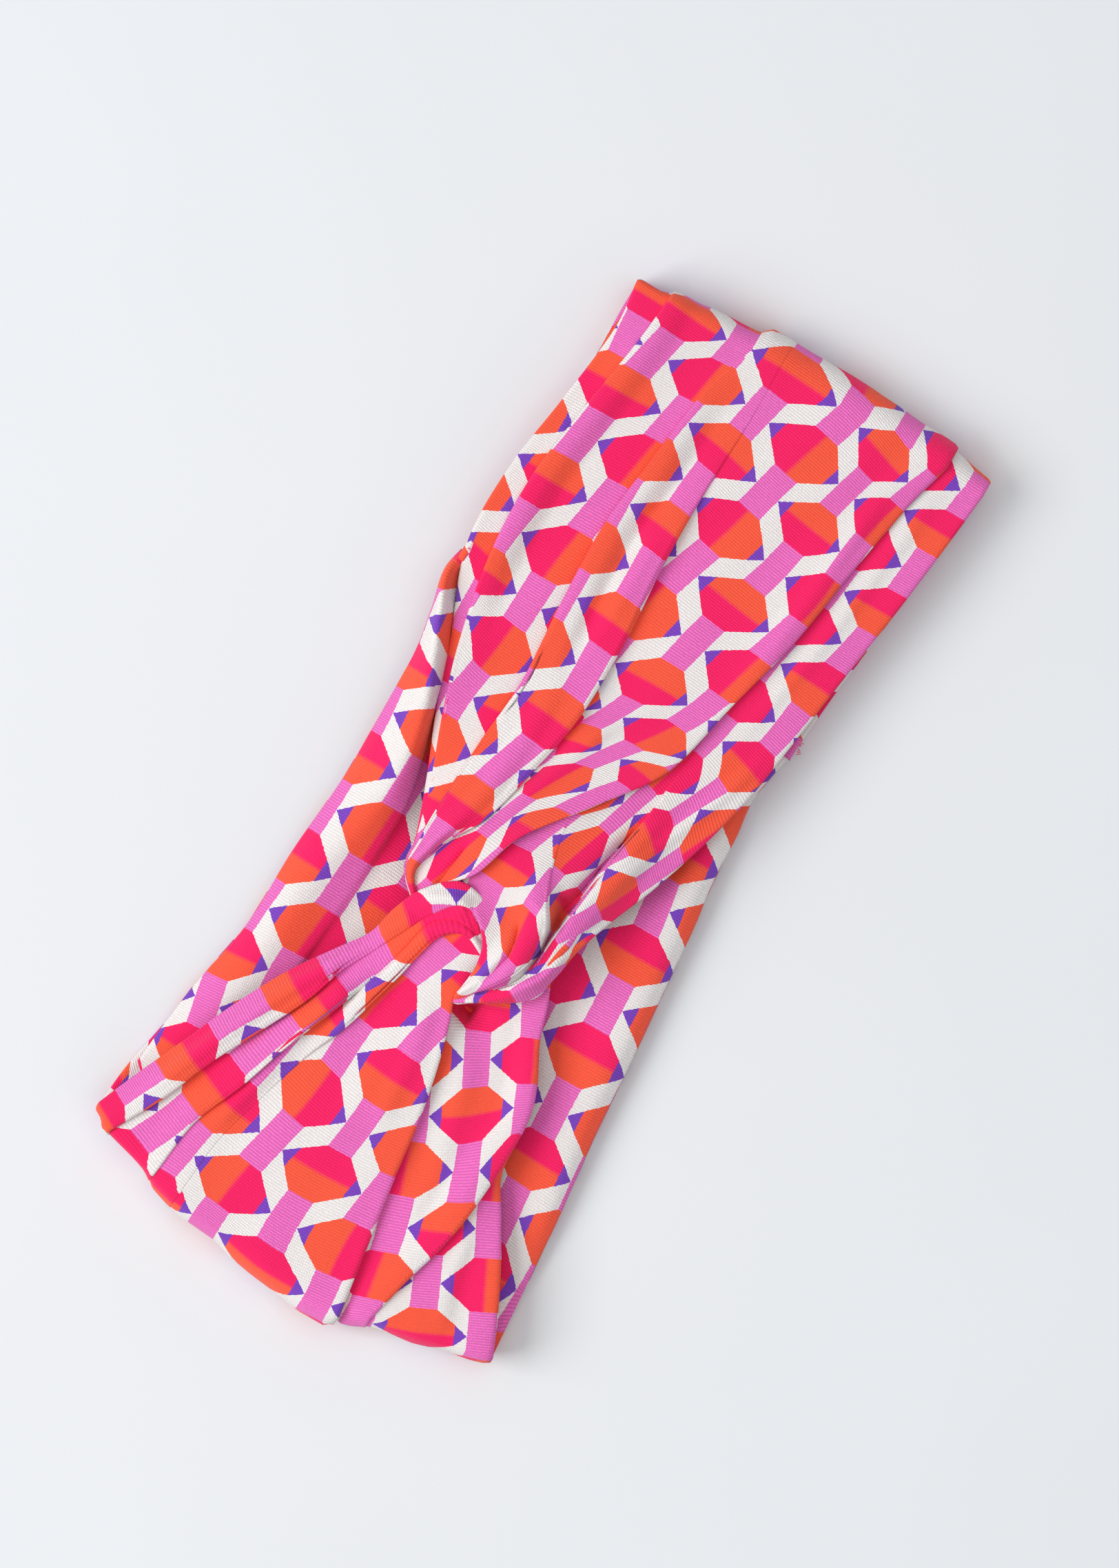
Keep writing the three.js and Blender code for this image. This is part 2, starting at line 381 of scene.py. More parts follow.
def strap_leg(rails, panels, rows, lines=(), seed=1, rough=0.22):
    """The front of one strap leg: an (rows, columns) grid of points in mm and its print.
    rails run along the leg, each a dict of x, y, z, depth and the side that lies over."""
    curves = []
    for rail in rails:
        n = len(rail["x"])
        stack = np.stack([np.asarray(rail[k], float) * np.ones(n) for k in ("x", "y", "z")], axis=1)
        depth = flow(np.asarray(rail.get("depth", 0.0), float) * np.ones(n), rows)
        curves.append((flow(stack, rows), np.maximum(depth, 0.0), rail.get("over")))
    grid = []
    prints = []
    for i, (lay, count) in enumerate(panels):
        (a, da, over_a), (b, db, over_b) = curves[i], curves[i + 1]
        f = (np.arange(count) + 0.5) / count
        if i == 0:
            f = np.arange(count) / (count - 0.5)
        if i == len(panels) - 1:
            f = (np.arange(count) + 0.5) / (count - 0.5)
        if len(panels) == 1:
            f = np.linspace(0, 1, count)
        strip = a[:, None] * (1 - f)[None, :, None] + b[:, None] * f[None, :, None]
        width = np.hypot(*(b - a)[:, :2].T)[:, None]
        for depth, over, side, distance in (
            (da, over_a, "right", f[None] * width),
            (db, over_b, "left", (1 - f)[None] * width),
        ):
            lift = 2 * FOLD_PITCH * np.clip(depth / FULL_DEPTH, 0, 1) if over == side else 0 * depth
            under = np.minimum(depth[:, None] + 0.5, 0.6 * width)
            past = np.clip((distance - under) / np.clip(0.95 * width - under, 0.4, ROLL), 0, 1)
            strip[..., 2] += lift[:, None] * (0.5 + 0.5 * np.cos(math.pi * past))
        grid.append(strip)
        prints.append(lay(strip[..., 0], strip[..., 1]))
        if i < len(panels) - 1:
            pitch = FOLD_PITCH * np.clip(db / FULL_DEPTH, 0.04, 1)
            px, pz = pleat_profile(db, pitch, over_b)
            cut = np.repeat(b[:, None], FOLD_STEPS, axis=1)
            across = (curves[i + 1][0] - curves[i][0])[:, :2]
            across /= np.linalg.norm(across, axis=1)[:, None]
            cut[..., 0] += px * across[:, 0:1]
            cut[..., 1] += px * across[:, 1:2]
            cut[..., 2] += pz
            grid.append(cut)
            prints.append(None)
    for k in range(1, len(panels)):
        i = 2 * k - 1
        depth, over = curves[k][1], curves[k][2]
        before, after = prints[i - 1], prints[i + 1]
        sign = np.sign((after[:, -1, 1] - after[:, 0, 1] + before[:, -1, 1] - before[:, 0, 1]).mean())
        jump = after[:, 0] - before[:, -1]
        jump[:, 1] -= sign * (2 * depth + np.clip(depth / FULL_DEPTH, 0, 1))
        whole = REPEAT * np.round(jump / REPEAT)
        jump -= whole
        small = np.exp(-((np.linalg.norm(jump, axis=1) / 7.0) ** 2))
        jump *= (np.exp(-depth / 0.8) * small)[:, None] / 2
        for uv, part, edge in ((before, grid[i - 1], -1), (after, grid[i + 1], 0)):
            gap = np.linalg.norm(part - part[:, edge][:, None], axis=2)[..., None]
            uv += (1 if edge else -1) * jump[:, None] * np.exp(-((gap / 6.0) ** 2))
        steps = np.linalg.norm(np.diff(grid[i], axis=1), axis=2)
        run = np.concatenate([np.zeros((len(steps), 1)), np.cumsum(steps, axis=1)], axis=1)
        start, stop = before[:, -1:], after[:, :1] - whole[:, None]
        step = np.arange(FOLD_STEPS)
        if over == "left":
            seen = start + sign * run[..., None] * np.array([0.0, 1.0])
            f = np.clip((step - BEND_STEPS + 1) / (FOLD_STEPS - BEND_STEPS), 0, 1)
            held = seen[:, np.minimum(step, BEND_STEPS - 1)]
            prints[i] = held * (1 - f)[None, :, None] + stop * f[None, :, None]
        else:
            rest = run[:, -1:] - run
            seen = stop - sign * rest[..., None] * np.array([0.0, 1.0])
            f = np.clip((FOLD_STEPS - BEND_STEPS - step) / (FOLD_STEPS - BEND_STEPS), 0, 1)
            held = seen[:, np.maximum(step, FOLD_STEPS - BEND_STEPS)]
            prints[i] = held * (1 - f)[None, :, None] + start * f[None, :, None]
    points = np.concatenate(grid, axis=1)
    uv = np.concatenate(prints, axis=1)
    points[..., 2] += creases(points[..., 0], points[..., 1], lines)
    points[..., 2] += rough * wrinkles(uv, seed)
    return points, uv


def end_turn(points, uv, end_y, back_z, steps=14):
    """Carries a leg over the end fold, from its first row round to the back."""
    first = points[0]
    sign = np.sign(end_y.mean())
    mean_z = np.median(first[:, 2])
    radius = (mean_z - back_z) / 2
    over = first[:, 2] - mean_z
    rows = []
    prints = []
    arc = math.pi / steps
    for k in range(1, steps + 1):
        angle = arc * k
        row = first.copy()
        reach = np.maximum((end_y - first[:, 1]) * sign, 1.0)
        row[:, 1] = first[:, 1] + sign * (reach + over * 0.5) * math.sin(angle)
        fade = 1 - 0.6 * k / steps
        row[:, 2] = back_z + radius + (radius + over * fade) * math.cos(angle)
        rows.append(row)
        length = np.maximum(radius, reach) * angle
        prints.append(uv[0] + np.stack([sign_of_print(uv) * length, 0 * length], axis=1))
    return np.array(rows), np.array(prints)


def sign_of_print(uv):
    """Whether the print's along grows (1) or falls (-1) toward the end fold."""
    return 1.0 if (uv[0, :, 0] - uv[1, :, 0]).mean() > 0 else -1.0


def back_run(row, uv, edges, y_end, z_low, rows, grow):
    """Carries a leg from the end fold along the back to the seam. edges are (y, left x,
    right x) along the back, the first at the end fold."""
    start_left, start_right = row[:, 0].min(), row[:, 0].max()
    share = (row[:, 0] - start_left) / (start_right - start_left)
    steps = np.linspace(0, 1, rows + 1)[1:]
    out = []
    prints = []
    ys = np.array([e[0] for e in edges], float)
    order = np.argsort(ys)
    for f in steps:
        y = row[:, 1] * (1 - f) + y_end * f
        left = np.interp(y, ys[order], np.array([e[1] for e in edges], float)[order])
        right = np.interp(y, ys[order], np.array([e[2] for e in edges], float)[order])
        blend = min(1.0, f * 6)
        x = row[:, 0] * (1 - blend) + (left + share * (right - left)) * blend
        z = row[:, 2] * (1 - blend) + (z_low + (row[:, 2] - np.median(row[:, 2])) * 0.8) * blend
        out.append(np.stack([x, y, z], axis=1))
        prints.append(uv + np.stack([grow * np.abs(y - row[:, 1]), 0 * y], axis=1))
    return np.array(out), np.array(prints)


def cloth_piece(name, points, uv, inner_uv, material, rim=1.1):
    """A closed thin sheet round a grid of points: outer and inner face with rounded rims."""
    rows, columns = points.shape[:2]
    along = np.gradient(points, axis=0)
    across = np.gradient(points, axis=1)
    normal = np.cross(across, along)
    normal /= np.maximum(np.linalg.norm(normal, axis=2, keepdims=True), 1e-9)
    facing = np.sign(normal[-40:, :, 2].mean())  # the last rows lie in front, outer face up
    normal *= facing
    side = np.cumsum(np.linalg.norm(np.diff(points, axis=1), axis=2), axis=1)
    side = np.concatenate([np.zeros((rows, 1)), side], axis=1)
    from_rim = np.minimum(side, side[:, -1:] - side)
    ends = np.minimum(np.arange(rows), np.arange(rows)[::-1])[:, None] * 1.2
    f = np.clip(np.minimum(from_rim, ends) / rim, 0.03, 1)
    half = 0.5 * JERSEY * np.sqrt(1 - (1 - f) ** 2)[..., None]
    outer = points + normal * half
    inner = points - normal * half
    verts = np.concatenate([outer.reshape(-1, 3), inner.reshape(-1, 3)]) * MM
    index = np.arange(rows * columns).reshape(rows, columns)
    a, b, c, d = index[:-1, :-1], index[:-1, 1:], index[1:, 1:], index[1:, :-1]
    top = np.stack([a, d, c, b], axis=-1).reshape(-1, 4)
    below = np.stack([a, b, c, d], axis=-1).reshape(-1, 4) + rows * columns
    loop = np.concatenate([index[0, :-1], index[:-1, -1], index[-1, :0:-1], index[:0:-1, 0]])
    after = np.roll(loop, -1)
    n = rows * columns
    wall = np.stack([loop, after, after + n, loop + n], axis=-1)
    faces = np.concatenate([top, below, wall])
    if facing < 0:
        faces = faces[:, ::-1]
    mesh = bpy.data.meshes.new(name)
    mesh.from_pydata(verts.tolist(), [], faces.tolist())
    layer = mesh.uv_layers.new(name="print")
    both = np.concatenate([uv.reshape(-1, 2), inner_uv.reshape(-1, 2)])
    corner_uv = both[faces]
    corner_uv -= REPEAT * np.round((corner_uv - corner_uv[:, :1]) / REPEAT)
    layer.data.foreach_set("uv", corner_uv.astype(np.float32).reshape(-1))
    mesh.polygons.foreach_set("use_smooth", [True] * len(faces))
    mesh.materials.append(material)
    mesh.update()
    piece = bpy.data.objects.new(name, mesh)
    scene.collection.objects.link(piece)
    return piece


OTHER_SIDE_SHIFT = 7.0  # the print's columns don't line up on a tube's two sides


def other_side(uv):
    """The print on the hidden side of a tube, mirrored across."""
    return uv * np.array([1.0, -1.0]) + np.array([0.0, OTHER_SIDE_SHIFT])


UPPER_BACK = [(118, -46.5, 47.5), (100, -45.5, 46), (80, -46.5, 44), (60, -48, 42), (44.5, -47.5, 41)]
SEAM_Y = 44.5

OUTER_LEG_Y = [117, 105, 85, 65, 45, 25, 10, -5, -17, -27, -40]
outer_leg_rails = [
    {
        "x": [-46, -44.7, -46.6, -49, -48, -40, -34.6, -28.2, -23.6, -20.4, -2],
        "z": [12.2, 12, 11.8, 12, 12.6, 11, 10.4, 10.6, 11, 11.6, 10.5],
    },
    {
        "x": [-37.2, -38.2, -41, -43, -41.7, -37.4, -32.4, -26.6, -22.9, -20, -1.6],
        "z": [12.6, 12.5, 12.4, 12.4, 12.6, 12.6, 12, 11.2, 11.2, 11, 10.5],
        "depth": [0.7, 1.2, 1.5, 1.5, 1.0, 0.1, 0.1, 0.1, 0.1, 0.1, 0.1],
        "over": "right",
    },
    {
        "x": [-15, -19, -21.4, -23.1, -22.2, -20.6, -21.5, -22.1, -21.9, -19.5, -1.2],
        "z": [12.6, 12.4, 12, 12, 12, 12, 12.2, 12.5, 12.5, 11.5, 10.5],
        "depth": [0.1, 0.3, 1.5, 2, 3, 4, 4.5, 4.5, 3, 1, 0.3],
        "over": "right",
    },
    {
        "x": [-8, -7.5, -8, -7.5, -5.8, -5.8, -8.3, -11.8, -17.6, -18.4, -0.8],
        "z": [12.7, 12.5, 12.2, 12, 12, 12.2, 12.8, 14, 14, 12.2, 10.5],
        "depth": [0.1, 0.1, 0.6, 2.5, 4, 4.5, 3.0, 1.6, 1.2, 0.6, 0.1],
        "over": "left",
    },
    {
        "x": [36.8, 33.8, 30.5, 27.7, 23, 18.3, 8.3, -2.7, -6.8, -12, 0],
        "z": [12.8, 13, 13.2, 13.4, 14, 15.5, 17.8, 20, 19.5, 15.5, 11],
    },
]
for rail in outer_leg_rails:
    rail["y"] = OUTER_LEG_Y
upper_marks_left = [
    (-3, 2, [
        (-43, 33), (-43.4, 41.5), (-42, 54.2), (-40.2, 67.7), (-37.9, 80.6), (-36.1, 93.4),
        (-33.8, 105), (-31.5, 116.3),
    ]),
    (-2, 0, [
        (-31.5, 3.5), (-32.4, 16.2), (-29.5, 28.5), (-29.4, 41.8), (-28.2, 54.6), (-26.5, 67.8),
        (-24.3, 82.7), (-22.6, 93.2), (-20.2, 105.9), (-18.4, 115.4),
    ]),
    (-1, 1, [(-18.5, 17.5)]),
]
upper_marks_middle = [
    (-1.24, -2, [(-20.6, -17)]),
    (-0.76, -2, [(-17.8, -17)]),
    (-2, 2, [(-23.3, 35.4), None, (-23.6, 60.4), None, (-23.6, 84.6), None, (-20.2, 106.7)]),
    (-1, -3, [
        (-17.7, -26.6), (-19.3, -17), (-18, -5), (-14.3, 7.5), (-9.8, 22), (-9.3, 34.6),
        (-9.7, 47.5), (-9.8, 60), (-10.4, 71.5), (-10, 84), (-9, 93.9), (-6.5, 106), (-4.3, 116.7),
    ]),
]
upper_marks_right = [
    (0, 4, [(-6.1, 53.8), (-2.3, 67.3), (1.8, 79.6), (4.3, 91.3), (7.2, 102.5), (11.8, 116)]),
    (1, 1, [
        (-5, 19), (0.5, 29.3), (4.7, 40.3), (8.1, 53.1), (11.2, 65), (15.1, 76.7), (17.4, 89.8),
        (20.6, 100.2), (23.3, 112), (26.5, 122),
    ]),
    (2, -2, [
        (-12.4, -16.5), (-7.5, -2.1), (-3.5, 9), (5.8, 22.9), (11, 29.5), (17.4, 40), (21, 52),
        (24.5, 63.7), (28, 76), (28.2, 87.5), (29.5, 99),
    ]),
    (3, -2, [(-7, -19), (-1.5, -2.5)]),
    (1.24, -2, [(-17.2, -17)]),
    (2.76, -2, [(-8.4, -17)]),
]
upper_margin = print_map(0, [
    (-3, 3, [(-38.9, 45.8), None, (-37.6, 68.7), None, None, (-41, 106), (-41.5, 115)]),
    (-4, 4, [(-53.6, 59.2), None, (-51.7, 80.3)]),
])
upper_left = print_map(0, upper_marks_left)
upper_middle = print_map(0, upper_marks_middle + [(0, 7, [(4.3, 91.3), (7.2, 102.5), (11.8, 116)])])
upper_right = print_map(0, upper_marks_right + [(-1, 7, [(-9, 93.9), (-6.5, 106), (-4.3, 116.7)])])
outer_leg_lines = [
    ([(28, 105), (27, 95), (25.5, 75), (24, 60), (21, 50)], 2.2, 1.3),
    ([(-11.8, -12.5), (-12.7, -20), (-13.5, -26)], 1.0, -1.6),
    ([(-14, 75), (-13, 60), (-12, 45)], 3.0, 0.8),
    ([(2, 30), (-3, 15), (-8, 0), (-12, -15)], 2.2, 1.2),
]
points, uv = strap_leg(
    outer_leg_rails,
    [(upper_margin, 14), (upper_left, 26), (upper_middle, 22), (upper_right, 44)],
    170,
    outer_leg_lines,
    seed=3,
)
end_x = [-46.3, -45.7, -38, -28, -15.5, -13.4, 0, 13, 34, 37.7, 47.8]
end_y = [115, 116, 118.8, 120.7, 121.8, 123.8, 124, 124, 122.9, 122.7, 121]
turn_points, turn_uv = end_turn(points, uv, np.interp(points[0, :, 0], end_x, end_y), 1.0)
grow = sign_of_print(uv)
back_points, back_uv = back_run(turn_points[-1], turn_uv[-1], UPPER_BACK, SEAM_Y + 0.6, 0.9, 60, grow)
points = np.concatenate([back_points[::-1], turn_points[::-1], points])
uv = np.concatenate([back_uv[::-1], turn_uv[::-1], uv])
upper_outer = cloth_piece("upper_strap_outer_leg", points, uv, other_side(uv), upper_jersey)
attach(upper_outer, "root")
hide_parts("upper_strap")

# ------------------------------------------------------------------ upper strap, inner leg
# The other leg of the same tube: it comes over the top of the knot as its face and a sheaf
# of narrow bands, and shows at the right of the outer leg before it turns with it.
inner_leg_rails = [
    {
        "x": [-44, -43, -43, -42, -34, -26, -16, -11, -10, -10.5, 0.4, 3.6, 3.0],
        "y": [116, 105, 85, 65, 45, 30, 15, 2, -9, -19.5, -28, -35, -44.5],
        "z": [11, 11, 11, 11, 11, 11, 12, 14, 16, 15.5, 20.5, 20, 15.4],
    },
    {
        "x": [0, 0, 0, 0, 1, 2, 3, 5.5, 9, 13, 13.4, 10.6, 3.2],
        "y": [116, 105, 85, 65, 45, 30, 15, -3, -13.5, -20.5, -28, -35, -44.8],
        "z": [11.2, 11.2, 11.2, 11.2, 11.5, 12.2, 14, 17.5, 20.5, 21, 20.5, 18.2, 14.4],
        "depth": [0.1, 0.1, 0.1, 0.1, 0.1, 0.1, 0.1, 0.1, 0.6, 2.5, 3.0, 2.0, 0.4],
        "over": "left",
    },
    {
        "x": [30, 28, 26, 24, 22, 21, 20, 17.6, 16.4, 15.4, 15, 12.8, 3.3],
        "y": [116, 105, 85, 65, 45, 30, 15, 0, -11, -21, -29, -35.5, -45],
        "z": [11.4, 11.4, 11.4, 11.5, 11.8, 12.5, 14, 16.5, 17.5, 18, 17.5, 16.5, 14.2],
        "depth": [0.1, 0.1, 0.1, 0.1, 0.1, 0.1, 0.6, 2.0, 2.8, 2.8, 2.4, 1.5, 0.4],
        "over": "right",
    },
    {
        "x": [47.2, 46.3, 44.3, 41.8, 39.4, 37.4, 34, 29.3, 25.4, 22, 20.5, 17.8, 3.5],
        "y": [116, 105, 85, 65, 45, 30, 15, 0, -10, -20, -29, -36.5, -45.6],
        "z": [11.6, 11.5, 11.5, 11.5, 11.7, 12.5, 13.2, 14, 15, 16, 16, 16.4, 15.4],
    },
]
face_marks = [
    (1, -10, [
        (45.3, 114.2), (46.4, 104), (42.4, 92.5), (43, 81.7), (39.9, 70), (38, 60), (35.8, 45.8),
        (33.8, 36), (27.5, 22), (21, 9.5), (15.5, -4), (13.5, -14),
    ]),
    (2, -10, [
        (32, 115.4), None, (29.1, 92.5), None, (26.2, 70), None, (22.5, 48.5), (22.4, 37.5),
        (19.5, 26), (14.7, 12.7), (12.2, 0.8), (9, -12.8), (9.1, -24.5),
    ]),
    (3, 0, [(-0.9, -3), (-4, -11.8), (-3, -21.5)]),
]
band_print = print_map(180, [
    (0, -2, [(33, 17), (28.2, 3.8), (22.5, -5.5), (19.3, -15.3), (12.5, -26)]),
    (-1, 1, [(25, -20.5), (17.5, -31.5)]),
    (1, -10, [
        (45.3, 114.2), (46.4, 104), (42.4, 92.5), (43, 81.7), (39.9, 70), (38, 60), (35.8, 45.8),
        (33.8, 36), (27.5, 22), (22.5, 11),
    ]),
    (2, -10, [(32, 115.4), None, (29.1, 92.5), None, (26.2, 70), None, (22.5, 48.5)]),
])
face_print = print_map(180, face_marks)
points, uv = strap_leg(
    inner_leg_rails,
    [(face_print, 30), (face_print, 24), (band_print, 26)],
    190,
    [
        ([(7.3, -21), (8.6, -26.6), (8.9, -30), (7.7, -35), (5.9, -38.5)], 1.0, -2.2),
        ([(19.5, 12), (17.2, 2), (15.6, -8), (14.4, -15), (14.3, -24), (13.8, -30)], 1.5, -3.4),
        ([(11.6, -11), (13.6, -15), (14.9, -20)], 1.6, -3.2),
        ([(36, 40), (30, 22), (25, 8), (20, -8)], 1.6, 1.2),
        ([(38, 110), (35, 85), (32, 60), (28, 40)], 2.0, 0.8),
        ([(24, -12), (20.5, -22), (18, -30), (13, -37.5)], 0.8, 1.3),
    ],
    seed=5,
)
turn_points, turn_uv = end_turn(points, uv, np.interp(points[0, :, 0], end_x, end_y) - 1.2, 2.2)
grow = sign_of_print(uv)
back_points, back_uv = back_run(turn_points[-1], turn_uv[-1], UPPER_BACK, SEAM_Y + 0.6, 2.2, 60, grow)
points = np.concatenate([back_points[::-1], turn_points[::-1], points])
uv = np.concatenate([back_uv[::-1], turn_uv[::-1], uv])
upper_inner = cloth_piece("upper_strap_inner_leg", points, uv, other_side(uv), upper_jersey)
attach(upper_inner, "root")
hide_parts("upper_strap")

# ------------------------------------------------------------------ lower strap, outer leg
# The lower tube's upper leg comes out from under the knot's face at the left, over the
# upper strap, and fans down in long pleats to the lower end, where it rolls underneath.
lower_jersey = jersey("printed_viscose_jersey_lower")
lower_outer_rails = [
    {
        "x": [-53.8, -50.2, -44.6, -39.3, -32.7, -25.5, -20.9, -19, -15.5, -8.5, 2],
        "y": [-107, -98, -85, -72.5, -59.4, -48.5, -41.6, -34, -26.5, -20.8, -23],
        "z": [12, 12, 12, 12, 12.5, 13.5, 14.5, 15.5, 17, 18.5, 17],
    },
    {
        "x": [-48.5, -42.2, -37, -31.6, -25.4, -22.4, -18.6, -15.3, -11.5, -6, 3],
        "y": [-111, -99, -86, -75, -62, -52.5, -45, -38.5, -31, -25, -27.5],
        "z": [12.3, 12.3, 12.3, 12.3, 12.8, 13.8, 14.8, 16, 17.3, 18.6, 17],
        "depth": [0.8, 1.2, 2.0, 3.2, 3.0, 1.3, 0.8, 0.6, 0.5, 0.3, 0.1],
        "over": "left",
    },
    {
        "x": [-34.8, -33, -28, -24, -19.2, -16.2, -14, -12.6, -10.6, -5, 3.6],
        "y": [-114.5, -99.5, -86.5, -74, -61.5, -53, -45.7, -40, -32.5, -28.5, -30.5],
        "z": [12.3, 12.3, 12.3, 12.3, 12.8, 13.8, 14.8, 16, 17.3, 18.6, 17],
        "depth": [0.3, 0.8, 2.0, 3.0, 2.4, 0.6, 0.2, 0.1, 0.1, 0.1, 0.1],
        "over": "left",
    },
    {
        "x": [-27.5, -26.2, -23, -19.3, -14.6, -12, -10.2, -9.2, -7, -2, 4.5],
        "y": [-116.5, -100.5, -87.5, -74.5, -62.5, -53, -46, -41, -34, -30.5, -33],
        "z": [12.4, 12.4, 12.4, 12.4, 12.8, 13.6, 14.4, 15.4, 16.8, 18, 17.5],
        "depth": [0.1, 0.1, 0.1, 0.3, 1.2, 1.8, 1.5, 1.3, 1.2, 0.6, 0.2],
        "over": "left",
    },
    {
        "x": [18.5, 15, 12.8, 11, 8.3, 5.5, 4, 3.4, 3.4, 4.5, 6.5],
        "y": [-120, -98.5, -85, -72.5, -60, -50.5, -46.5, -45, -44, -42.5, -41],
        "z": [13, 13, 13, 13.2, 13.6, 14.2, 15, 15.4, 15.6, 15.4, 14.5],
    },
]
lobe_left = print_map(153, [
    (5, 1, [
        (4, -26), (-6.8, -28.5), (-14.8, -35), (-22.4, -47.6), (-29.8, -60.5), (-37.5, -73),
        (-43.2, -86), (-49, -98.8), (-53, -107.5),
    ]),
])
lobe_middle = print_map(160, [
    (3, 2, [
        (5, -19), (-9.7, -35), (-18.5, -49), (-23.5, -60.5), (-28.4, -75.6), (-33.6, -90),
        (-38.3, -103),
    ]),
])
lobe_right = print_map(167, [
    (1, 2, [
        (5, -19), (-9.7, -35), (-18.5, -49), (-24, -61.5), (-26, -77), (-29.6, -92),
        (-31.6, -106),
    ]),
])
lower_main = print_map(180, [
    (1, 7, [(-29.8, -92), (-31.3, -106)]),
    (0, 2, [
        (-2.5, -29.5), (-5.5, -39), (-11, -53.4), (-11.9, -66.4), (-12.9, -80), (-15.2, -94.4),
        (-18.3, -107.7), (-18.9, -117.5),
    ]),
    (-1, 4, [(2.3, -55), (0.5, -67.5), (-0.2, -82.7), (-2, -94), (-3.6, -108.4), (-2.4, -121)]),
    (-2, 6, [(13.3, -80), (12, -93.3), (10.7, -107.5), (12.7, -119.3)]),
])
points, uv = strap_leg(
    lower_outer_rails,
    [(lobe_left, 14), (lobe_middle, 18), (lobe_right, 12), (lower_main, 40)],
    120,
    [
        ([(-21, -46), (-30, -62), (-40, -85), (-48, -103)], 1.8, 1.4),
        ([(-17.5, -49), (-21, -62), (-24, -78), (-29, -100)], 2.0, 1.2),
        ([(-15, -29), (-9, -25.5), (-4, -25)], 1.6, 1.4),
        ([(-14, -33), (-19, -41)], 1.6, 0.8),
        ([(-1, -48), (2, -62), (3, -80)], 2.6, 0.9),
    ],
    seed=8,
)
low_end_x = [
    -54.4, -51, -50, -44, -40, -36, -33, -25, -15, -10, 0, 10, 16.5, 17.5, 20, 24, 28, 36, 44, 49,
    54,
]
low_end_y = [
    -109, -109.8, -111.5, -112, -113.5, -115.5, -117.8, -119.8, -120.5, -121.8, -123, -124.3, -124,
    -122.8, -122.8, -120.5, -119.3, -118, -115.7, -114.5, -113,
]
LOWER_BACK = [
    (-104, -53, 53.2), (-90, -50.8, 51.7), (-75, -49.8, 50.1), (-55, -46.3, 47.6),
    (-35, -46.2, 45.8), (-15, -44.9, 43.6), (10, -45.2, 40.5), (30, -46, 38.5),
    (44.5, -47.5, 40.8),
]
turn_points, turn_uv = end_turn(points, uv, np.interp(points[0, :, 0], low_end_x, low_end_y), 1.0)
grow = sign_of_print(uv)
back_points, back_uv = back_run(turn_points[-1], turn_uv[-1], LOWER_BACK, SEAM_Y - 0.6, 0.9, 110, grow)
points = np.concatenate([back_points[::-1], turn_points[::-1], points])
uv = np.concatenate([back_uv[::-1], turn_uv[::-1], uv])
lower_outer = cloth_piece("lower_strap_outer_leg", points, uv, other_side(uv), lower_jersey)
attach(lower_outer, "root")
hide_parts("lower_strap")

# ------------------------------------------------------------------ lower strap, inner leg
# The lower tube's other leg comes out under the knot's bands, fans to the right below the
# outer leg, turns inside it, and its inner face lines the back layer up to the seam.
lower_inner_rails = [
    {
        "x": [-38, -32, -28, -24, -18, -12, -8, -4, 0, 4],
        "y": [-110, -103, -93, -83, -72, -60, -52, -44, -36, -30],
        "z": [10.8, 10.8, 10.8, 10.8, 10.8, 10.8, 10.8, 10.8, 10.8, 11],
    },
    {
        "x": [24.6, 27.3, 30, 31.6, 32.3, 32, 29.5, 25, 21.8, 18],
        "y": [-117, -105, -95, -85, -72, -60, -52, -43.5, -34.4, -27],
        "z": [11.4, 11.2, 11, 10.6, 10.2, 10, 10, 10.2, 10.5, 11],
        "depth": [0.6, 1.5, 2.2, 2.5, 2.5, 2.0, 1.5, 1.0, 0.6, 0.3],
        "over": "left",
    },
    {
        "x": [53.6, 50, 44.5, 38.5, 33.2, 31.5, 29, 24.6, 21.5, 17.8],
        "y": [-110.5, -102.5, -92, -82, -73, -61, -53, -44.5, -35.4, -28],
        "z": [11.6, 11.2, 10.6, 9.8, 8.8, 8.8, 9, 9.4, 10, 10.6],
    },
]
tilted = print_map(24.5, [
    (0, -6, [(13.9, -83.5), None]),
    (1, -7, [(31, -90.5), (26.5, -77.2), (21.3, -65.7), (14.8, -54), (9, -42.5)]),
    (0, -9, [(22.3, -118.3), (21.3, -108.5), (18.1, -96.3), (13.9, -83.5)]),
    (2, -5, [(29.7, -56.7), (27.5, -47.5), (20.9, -38)]),
])
tail = print_map(24.5, [
    (0, -9, [(49.1, -108), (43.4, -97.2), (37.7, -86)]),
    (-1, -9, [(36.1, -114), (31.9, -103.7), (25.6, -91.5)]),
])
points, uv = strap_leg(
    lower_inner_rails,
    [(tilted, 46), (tail, 20)],
    90,
    [
        ([(12, -50), (16, -62), (20, -80), (22, -100)], 3.0, 1.0),
        ([(40, -112), (36, -100), (34, -88)], 2.0, 0.8),
        ([(3.5, -42), (6.5, -45.5), (10, -45.5)], 2.8, -7.6),
    ],
    seed=12,
)
turn_points, turn_uv = end_turn(points, uv, np.interp(points[0, :, 0], low_end_x, low_end_y) + 1.2, 2.2)
columns = points.shape[1]
